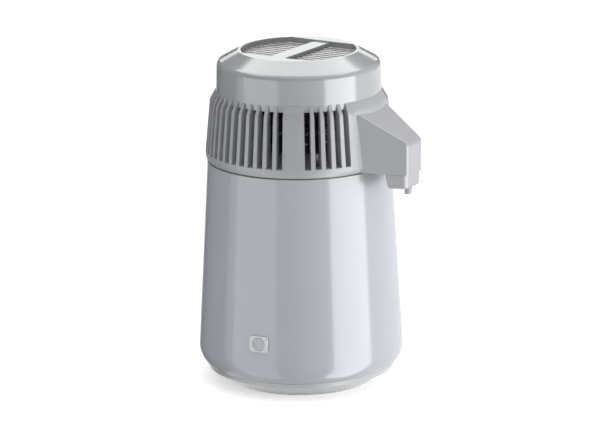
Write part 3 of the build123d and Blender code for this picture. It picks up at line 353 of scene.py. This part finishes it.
outside = [flank_ring(i / flank_steps, 0.0) for i in range(flank_steps + 1)]
outside += [heel_ring(i / heel_steps, 0.0) for i in range(1, heel_steps + 1)]
inside = [heel_ring(i / heel_steps, casing_wall) for i in range(heel_steps, 0, -1)]
inside += [flank_ring(i / inner_flank_steps, casing_wall) for i in range(inner_flank_steps, 0, -1)]
wall_at_ledge = flank_ring(0.0, casing_wall)[0]
ledge = [(wall_at_ledge, ledge_top - casing_wall), (ledge_inner, ledge_top - casing_wall),
         (ledge_inner, ledge_top), (wall_at_ledge, ledge_top)]
casing = spun_shell("casing_shell", outside + inside + ledge + [(wall_at_ledge, casing_mouth[1])])
flank_lean = pi / 2 - Vector((0.0, 1.0)).angle(-inward)
button_turn = radians(-82.2)
button_out = Vector((cos(button_turn) * cos(flank_lean), sin(button_turn) * cos(flank_lean),
                     sin(flank_lean)))
button_share = (casing_mouth[1] - button_height) / (casing_mouth[1] - casing_wide[1])
button_face_r = flank_ring(button_share, 0.0)[0]
button_spot = Vector((button_face_r * cos(button_turn), button_face_r * sin(button_turn), button_height))
bpy.ops.object.select_all(action="DESELECT")
bpy.ops.mesh.primitive_cylinder_add(vertices=button_bore_sides, radius=button_bore_r,
                                    depth=through_wall, location=button_spot)
button_bore = bpy.context.object
button_bore.rotation_euler = button_out.to_track_quat("Z", "Y").to_euler()
settle(button_bore)
windows = []
for width, tall, height in (inlet_window, fan_window):
    windows.append(square_block((0.0, casing_wide[0], height), (width, through_wall, tall)))
cut_out(casing, button_bore, *windows)
eased(casing, width=0.0003)
stands_for(casing, casing_white, "outer_casing")

# Boiler pot: drawn in one piece from stainless steel, satin, with a rolled flange.
# It hangs by the flange on the casing's ledge.
stainless = surface_finish("satin_stainless", (0.70, 0.69, 0.67), roughness=0.3, mottle=0.04, metallic=1.0)
fair_skin("boiler_pot", stainless)

# Heater: aluminium plate brazed under the pot, with a sheathed element that heat has tinted.
# The thermostats and the terminal block are glazed ceramic, the pins and screws brass.
cast_aluminium = surface_finish("cast_aluminium", (0.60, 0.60, 0.61), roughness=0.45, grain=0.00005,
                                mottle=0.05, metallic=1.0)
heat_tint = surface_finish("heat_tint", (0.22, 0.19, 0.17), roughness=0.4, mottle=0.3, metallic=1.0)
brass = surface_finish("brass", (0.65, 0.47, 0.20), roughness=0.3, mottle=0.05, metallic=1.0)
ceramic = surface_finish("ceramic", (0.76, 0.72, 0.64), roughness=0.3, coat=0.3)
fair_skin("heater_plate", cast_aluminium)
fair_skin("heating_element", heat_tint)
fair_skin("thermostats", ceramic)
fair_skin("terminal_block", ceramic)
for name in ("element_pins", "terminal_screws", "inlet_pins", "socket_contacts", "fan_nut"):
    fair_skin(name, brass)

# Mains inlet and fan-lead socket: black moulded sockets snapped into the back of the casing.
# The switch body and the gland of the fan's lead are moulded in the same black plastic.
black_plastic = surface_finish("black_plastic", (0.025, 0.025, 0.028), roughness=0.42, grain=0.00003)
for name in ("mains_inlet", "fan_socket", "switch_housing", "fan_lead_gland"):
    fair_skin(name, black_plastic)

# Reset button: satin white cap in a glossy raised bezel, on a stem that runs into the switch.
# A stainless wire spring pushes it out.
bezel_white = surface_finish("bezel_white", (0.60, 0.63, 0.63), roughness=0.16, coat=0.8)
button_white = surface_finish("button_white", (0.50, 0.52, 0.53), roughness=0.35)
fair_skin("button_bezel", bezel_white)
fair_skin("reset_button", button_white)
spring = fair_skin("button_spring", stainless)
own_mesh(spring)

# Lid group: stainless inner lid on a silicone ring, with its baffle, studs and steam pipe.
# The aluminium deck on the spacers above carries the head.
silicone = surface_finish("silicone", (0.72, 0.72, 0.70), roughness=0.5)
for name in ("inner_lid", "steam_baffle", "lid_studs", "steam_manifold", "steam_pipe", "motor_shaft"):
    fair_skin(name, stainless)
fair_skin("lid_seal", silicone)
fair_skin("head_deck", cast_aluminium)
fair_skin("lid_spacers", cast_aluminium)
fair_skin("deck_screws", zinc)

# Vent ring: band, shelf and upright fins in one white moulding, with a plain collar at the
# spout and two blank panels.
head_white = surface_finish("head_white", (0.41, 0.42, 0.443), roughness=0.37)
fair_skin("vent_ring", head_white, sharp=24.0)

# Condenser: stainless tube wound in four level turns through thin fins, both coloured dark navy as painted
# shade for the dim space behind the vent slots.
# Four plated posts carry it on the deck.
fin_dark = surface_finish("fin_dark", (0.006, 0.009, 0.034), roughness=0.5, mottle=0.1)
fair_skin("condenser_tube", fin_dark)
fair_skin("condenser_fins", fin_dark)
fair_skin("coil_stands", zinc)

# Fan and motor: grey moulded rotor on the shaft of a small motor with a plated can.
# The motor is screwed to a pressed steel bracket under the top cap.
fan_grey = surface_finish("fan_grey", (0.06, 0.065, 0.07), roughness=0.4)
fair_skin("fan_rotor", fan_grey)
for name in ("fan_motor", "motor_bracket", "motor_screws", "bracket_screws"):
    fair_skin(name, zinc)

# Top cap: glossy white turned shell with a coned top, a recess and a bar across it.
# The bar, the recess wall and the motor bracket's two bosses are one moulding with the cap.
corner_segments = 8
runs_along = 0.9
runs_partly = 0.5
near = 0.0010


def trim_off(spot, way):
    """Cuts away what lies beyond a flat and closes the cut."""
    bpy.ops.mesh.select_all(action="SELECT")
    bpy.ops.mesh.bisect(plane_co=spot, plane_no=way, clear_outer=True, use_fill=True)


def round_corners(piece, widest, rounding):
    """Rounds edges: rounding gives each edge's share of the widest from its middle and its way."""
    mesh = piece.data
    share = mesh.attributes.new("bevel_weight_edge", "FLOAT", "EDGE")
    for edge in mesh.edges:
        here, there = (mesh.vertices[i].co for i in edge.vertices)
        share.data[edge.index].value = rounding((here + there) / 2, (there - here).normalized())
    edge_round = piece.modifiers.new("corner", "BEVEL")
    edge_round.limit_method = "WEIGHT"
    edge_round.width = widest
    edge_round.segments = corner_segments
    alone(piece)
    bpy.ops.object.modifier_apply(modifier=edge_round.name)


cap_white = surface_finish("cap_white", (0.41, 0.425, 0.435), roughness=0.16, grain=0.000004, coat=0.35)
skirt = (0.0925, 0.3245)
shoulder = (0.0912, 0.3630)
rim = (0.0673, 0.3760)
shoulder_round = 0.0080
shoulder_in_round = 0.0058
shoulder_steps = 12
shoulder_in_steps = 6
skirt_steps = 20
cone_steps = 12
crown_hole_r = 0.0020
cap_wall = 0.0022
recess_r = 0.0642
recess_flat = 0.0500
seat_low = 0.3664
grille_low = 0.3684
ledge_wide = 0.0026
bar_wide = 0.0200
bar_low = 0.3712
bar_top = 0.3746
bar_round = 0.0008
bracket_boss_y = 0.0575
bracket_boss_r = 0.0042
bracket_boss_low = 0.3540
bracket_boss_top = 0.3749
bracket_bore_low = 0.3520
bracket_bore_top = 0.3615
overcut = 0.0010


def rounded_bend(before, corner, after, radius, steps):
    """Places along the round that eases a corner of an outline, from its first side to its second."""
    here = Vector(corner)
    back = (Vector(before) - here).normalized()
    on = (Vector(after) - here).normalized()
    half_bend = back.angle(on) / 2
    centre = here + (back + on).normalized() * radius / sin(half_bend)
    first = here + back * radius / tan(half_bend) - centre
    last = here + on * radius / tan(half_bend) - centre
    sweep = first.angle_signed(last)
    places = []
    for i in range(steps + 1):
        turn = -sweep * i / steps
        places.append((centre.x + first.x * cos(turn) - first.y * sin(turn),
                       centre.y + first.x * sin(turn) + first.y * cos(turn)))
    return places


def recess_block(grow, low, high):
    """Disc with two flats, the plan of the recess, grown all round."""
    block = upright_peg((0.0, 0.0), recess_r + grow, low, high, round_steps)
    bpy.ops.object.mode_set(mode="EDIT")
    trim_off((0.0, recess_flat + grow, 0.0), (0.0, 1.0, 0.0))
    trim_off((0.0, -recess_flat - grow, 0.0), (0.0, -1.0, 0.0))
    bpy.ops.object.mode_set(mode="OBJECT")
    return block


def bar_rounding(middle, way):
    """The two long edges along the top of the bar."""
    return 1.0 if middle.z > bar_top - near and abs(way.y) > runs_along else 0.0


skirt_in = (skirt[0] - cap_wall, skirt[1])
shoulder_in = (shoulder[0] - cap_wall, shoulder[1] - cap_wall / 2)
rim_in = (rim[0] - cap_wall / 2, rim[1] - cap_wall)
shoulder_bend = rounded_bend(skirt, shoulder, rim, shoulder_round, shoulder_steps)
skirt_end = Vector(shoulder_bend[0])
cone_start = Vector(shoulder_bend[-1])
cap_outline = [tuple(Vector(skirt).lerp(skirt_end, i / skirt_steps)) for i in range(skirt_steps)]
cap_outline += shoulder_bend
cap_outline += [tuple(cone_start.lerp(Vector(rim), i / cone_steps)) for i in range(1, cone_steps + 1)]
cap_outline += [(crown_hole_r, rim[1]), (crown_hole_r, rim_in[1]), rim_in]
cap_outline += rounded_bend(rim_in, shoulder_in, skirt_in, shoulder_in_round, shoulder_in_steps)
cap = spun_shell("cap_shell", cap_outline + [skirt_in])
join_on(cap, recess_block(cap_wall, seat_low, rim[1] - cap_wall / 2))
cut_out(cap, recess_block(0.0, grille_low, rim[1] + overcut))
cut_out(cap, recess_block(-ledge_wide, seat_low - overcut, grille_low + overcut))
bar = square_block((0.0, 0.0, (bar_low + bar_top) / 2),
                   (bar_wide, 2 * recess_flat + cap_wall, bar_top - bar_low))
round_corners(bar, bar_round, bar_rounding)
join_on(cap, bar)
for side in (-1, 1):
    boss_spot = (0.0, side * bracket_boss_y)
    join_on(cap, upright_peg(boss_spot, bracket_boss_r, bracket_boss_low, bracket_boss_top, boss_sides))
    cut_out(cap, upright_peg(boss_spot, screw_bore_r, bracket_bore_low, bracket_bore_top, bore_sides))
eased(cap, width=0.0005)
stands_for(cap, cap_white, "top_cap")

# Top grille: grey slats on a thin carrier round the edge and under the bar, one glossy moulding.
# It lies on the ledge in the cap's recess.
grille_grey = surface_finish("grille_grey", (0.28, 0.28, 0.29), roughness=0.22, coat=0.6)
fair_skin("top_grille", grille_grey)

# Spout: hollow white arm moulding with a sloping top, whose root follows the vent ring.
# A plate closes its underside, and a silicone hose runs through it.
spout_white = surface_finish("spout_white", (0.425, 0.43, 0.455), roughness=0.3, grain=0.000008, coat=0.2)
arm_root = 0.0820
arm_tip = 0.1486
arm_half_tip = 0.0162
arm_taper = 0.292
arm_tip_top = 0.2886
arm_slope = 0.56
arm_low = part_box("spout_housing")[0][2]
arm_wall = 0.0024
arm_block_wide = 0.0900
arm_round = 0.0050
upright_share = 0.6
crest_share = 0.4
core_r = 0.0500
ring_low = 0.2500
ring_foot = (0.1024, 0.2532)
ring_band = (0.1046, 0.2575)
ring_slots = (0.1046, 0.2629)
ring_bend = (0.0991, 0.3200)
ring_top = (0.09267, 0.3313)


def arm_block(name, inset, low):
    """The arm's outer form, tapering in plan with a sloping top, drawn in by inset."""
    tip = arm_tip - inset
    crown = arm_tip_top + arm_slope * (arm_tip - arm_root)
    block = square_block(((arm_root + tip) / 2, 0.0, (low + crown) / 2),
                         (tip - arm_root, arm_block_wide, crown - low))
    block.name = name
    bpy.ops.object.mode_set(mode="EDIT")
    half = arm_half_tip - inset * (1 + arm_taper ** 2) ** 0.5
    trim_off((arm_tip, half, 0.0), (arm_taper, 1.0, 0.0))
    trim_off((arm_tip, -half, 0.0), (arm_taper, -1.0, 0.0))
    drop = inset * (1 + arm_slope ** 2) ** 0.5
    trim_off((arm_tip, 0.0, arm_tip_top - drop), (arm_slope, 0.0, 1.0))
    bpy.ops.object.mode_set(mode="OBJECT")
    return block


def arm_rounding(middle, way):
    """Upright corners at the tip, the brow between slope and tip, and the two crest edges."""
    if middle.x > arm_tip - near:
        if abs(way.z) > runs_along:
            return upright_share
        return 1.0 if middle.z > arm_tip_top - near else 0.0
    return crest_share if middle.z > arm_tip_top and abs(way.x) > runs_partly else 0.0


arm = arm_block("arm_shell", 0.0, arm_low)
round_corners(arm, arm_round, arm_rounding)
hollow = arm_block("arm_hollow", arm_wall, arm_low - arm_wall)
ring_core = spun_shell("ring_core", [(core_r, ring_low), (ring_foot[0], ring_low), ring_foot, ring_band,
                                     ring_slots, ring_bend, ring_top, (core_r, ring_top[1])])
cut_out(arm, hollow, ring_core)
eased(arm, width=0.0002)
stands_for(arm, spout_white, "spout_housing")
fair_skin("spout_floor", spout_white)
fair_skin("distillate_hose", silicone)

# Nozzle: white moulded cup with a deck, whose neck pushes up into the spout's socket.
# A silicone sleeve seals the neck, and a basket with a cloth sachet of carbon hangs in it.
sachet_cloth = surface_finish("sachet_cloth", (0.62, 0.60, 0.55), roughness=0.85, grain=0.0002, mottle=0.1)
for name in ("nozzle_cup", "nozzle_lid", "filter_cup"):
    fair_skin(name, spout_white)
fair_skin("nozzle_seal", silicone)
fair_skin("carbon_sachet", sachet_cloth)

# Studio: pale floor that fades into a white surround, with one soft lamp on the right.
# The lit sheets beside, behind and above the object show only as bands in its gloss.
camera_turn = radians(32.0)
towards_camera = Vector((sin(camera_turn), -cos(camera_turn), 0.0))
to_the_right = Vector((cos(camera_turn), sin(camera_turn), 0.0))
floor_side = 40.0
floor_tone = (0.9, 0.9, 0.9, 1.0)
floor_roughness = 0.9
floor_glow = 0.45
bpy.ops.object.select_all(action="DESELECT")
bpy.ops.mesh.primitive_plane_add(size=floor_side, location=(0.0, 0.0, 0.0))
floor = bpy.context.object
floor.name = "studio_floor"
floor.visible_glossy = False
floor.visible_shadow = False
floor_paint = bpy.data.materials.new("floor_paint")
floor_paint.use_nodes = True
paint = floor_paint.node_tree.nodes
link_paint = floor_paint.node_tree.links.new
floor_skin = paint["Principled BSDF"]
floor_skin.inputs["Base Color"].default_value = floor_tone
floor_skin.inputs["Roughness"].default_value = floor_roughness
floor_skin.inputs["Specular IOR Level"].default_value = 0.0
ray = paint.new("ShaderNodeLightPath")
lift = paint.new("ShaderNodeMath")
lift.operation = "MULTIPLY"
lift.inputs[1].default_value = floor_glow
link_paint(ray.outputs["Is Camera Ray"], lift.inputs[0])
glow = paint.new("ShaderNodeEmission")
link_paint(lift.outputs["Value"], glow.inputs["Strength"])
both = paint.new("ShaderNodeAddShader")
link_paint(floor_skin.outputs["BSDF"], both.inputs[0])
link_paint(glow.outputs["Emission"], both.inputs[1])
link_paint(both.outputs["Shader"], paint["Material Output"].inputs["Surface"])
floor.data.materials.append(floor_paint)

# Surround: white to the camera and in the gloss, and brighter overhead for the shading
horizon_light = 0.34
overhead_light = 1.7
overhead_starts = 0.6
overhead_full = 0.95
surround = bpy.data.worlds.new("surround")
bpy.context.scene.world = surround
surround.use_nodes = True
sky = surround.node_tree.nodes
link_sky = surround.node_tree.links.new
sees = sky.new("ShaderNodeLightPath")
seen = sky.new("ShaderNodeMath")
seen.operation = "MAXIMUM"
link_sky(sees.outputs["Is Camera Ray"], seen.inputs[0])
link_sky(sees.outputs["Is Transmission Ray"], seen.inputs[1])
shown = sky.new("ShaderNodeMath")
shown.operation = "MAXIMUM"
link_sky(seen.outputs["Value"], shown.inputs[0])
link_sky(sees.outputs["Is Glossy Ray"], shown.inputs[1])
way_out = sky.new("ShaderNodeTexCoord")
height = sky.new("ShaderNodeSeparateXYZ")
link_sky(way_out.outputs["Generated"], height.inputs["Vector"])
overhead = sky.new("ShaderNodeMapRange")
overhead.interpolation_type = "SMOOTHSTEP"
overhead.inputs["From Min"].default_value = overhead_starts
overhead.inputs["From Max"].default_value = overhead_full
overhead.inputs["To Min"].default_value = horizon_light
overhead.inputs["To Max"].default_value = overhead_light
link_sky(height.outputs["Z"], overhead.inputs["Value"])
level = sky.new("ShaderNodeMix")
level.inputs["B"].default_value = 1.0
link_sky(shown.outputs["Value"], level.inputs["Factor"])
link_sky(overhead.outputs["Result"], level.inputs["A"])
link_sky(level.outputs["Result"], sky["Background"].inputs["Strength"])
sky["Background"].inputs["Color"].default_value = (1.0, 1.0, 1.0, 1.0)


def softbox(name, turn, distance, width, height, low, radiance):
    """Upright area lamp that faces the object, turned to the right of the camera by an angle."""
    way = towards_camera * cos(radians(turn)) + to_the_right * sin(radians(turn))
    at = way * distance + Vector((0.0, 0.0, low + height / 2))
    bpy.ops.object.light_add(type="AREA", location=at)
    lamp = bpy.context.object
    lamp.name = name
    lamp.rotation_euler = (-way).to_track_quat("-Z", "Y").to_euler()
    lamp.data.shape = "RECTANGLE"
    lamp.data.size = width
    lamp.data.size_y = height
    lamp.data.energy = radiance * pi * width * height
    return lamp


key = softbox("key_softbox", turn=80.0, distance=1.6, width=1.2, height=0.5, low=-0.08, radiance=9.0)
key.visible_glossy = False
right_sheen = softbox("right_sheen", turn=59.0, distance=1.6, width=1.4, height=3.5, low=-3.0, radiance=5.2)
left_sheen = softbox("left_sheen", turn=-54.0, distance=1.6, width=1.6, height=3.5, low=-3.0, radiance=1.8)
left_sheen.data.color = (0.82, 0.93, 1.0)
back_sheen = softbox("back_sheen", turn=180.0, distance=1.7, width=1.2, height=0.5, low=0.62, radiance=1.7)
ceiling_high = 2.2
ceiling_back = 0.7
ceiling_wide = 3.4
ceiling_deep = 2.0
ceiling_radiance = 3.4
ceiling_at = Vector((0.0, 0.0, ceiling_high)) - towards_camera * ceiling_back
bpy.ops.object.light_add(type="AREA", location=ceiling_at)
ceiling_sheen = bpy.context.object
ceiling_sheen.name = "ceiling_sheen"
ceiling_sheen.rotation_euler = (0.0, 0.0, camera_turn)
ceiling_sheen.data.shape = "RECTANGLE"
ceiling_sheen.data.size = ceiling_wide
ceiling_sheen.data.size_y = ceiling_deep
ceiling_sheen.data.energy = ceiling_radiance * pi * ceiling_wide * ceiling_deep
for sheen in (right_sheen, left_sheen, back_sheen, ceiling_sheen):
    sheen.visible_diffuse = False

# Dark screens: a black cloth wall all round the studio and a black card on the left.
# Only the gloss shows them, as the dark lines under the shoulder and along the left edge.
wall_sides = 96
wall_r = 2.2
wall_low = 0.25
wall_top = 2.15
bpy.ops.object.select_all(action="DESELECT")
bpy.ops.mesh.primitive_cylinder_add(vertices=wall_sides, radius=wall_r, depth=wall_top - wall_low,
                                    end_fill_type="NOTHING", location=(0.0, 0.0, (wall_low + wall_top) / 2))
wall = bpy.context.object
wall.name = "dark_wall"
settle(wall)
card_turn = radians(-125.0)
card_distance = 1.3
card_size = (1.7, 2.4, 1.0)
card_way = towards_camera * cos(card_turn) + to_the_right * sin(card_turn)
bpy.ops.object.select_all(action="DESELECT")
bpy.ops.mesh.primitive_plane_add(size=1.0, location=card_way * card_distance)
card = bpy.context.object
card.name = "dark_card"
card.scale = card_size
card.rotation_euler = (-card_way).to_track_quat("Z", "Y").to_euler()
card_paint = bpy.data.materials.new("card_paint")
card_paint.use_nodes = True
card_skin = card_paint.node_tree.nodes["Principled BSDF"]
card_skin.inputs["Base Color"].default_value = (0.02, 0.02, 0.02, 1.0)
card_skin.inputs["Roughness"].default_value = 1.0
card_skin.inputs["Specular IOR Level"].default_value = 0.0
for screen in (card, wall):
    screen.visible_camera = False
    screen.visible_diffuse = False
    screen.visible_transmission = False
    screen.visible_shadow = False
    screen.data.materials.append(card_paint)

# Camera: long lens from the photograph's side, 15 degrees above level, a little out of true.
# It aims at the middle of the object's height.
camera_distance = 3.7
camera_rise = radians(14.9)
camera_roll = radians(-0.54)
aim_height = 0.186
aim = Vector((0.0, 0.0, aim_height))
stand = aim + towards_camera * camera_distance * cos(camera_rise)
stand.z += camera_distance * sin(camera_rise)
bpy.ops.object.camera_add(location=stand)
camera = bpy.context.object
camera.data.sensor_width = 36.0
camera.data.lens = 198.0
looking = (aim - stand).to_track_quat("-Z", "Y").to_matrix()
camera.rotation_euler = (looking @ Matrix.Rotation(camera_roll, 3, "Z")).to_euler()
bpy.context.scene.camera = camera
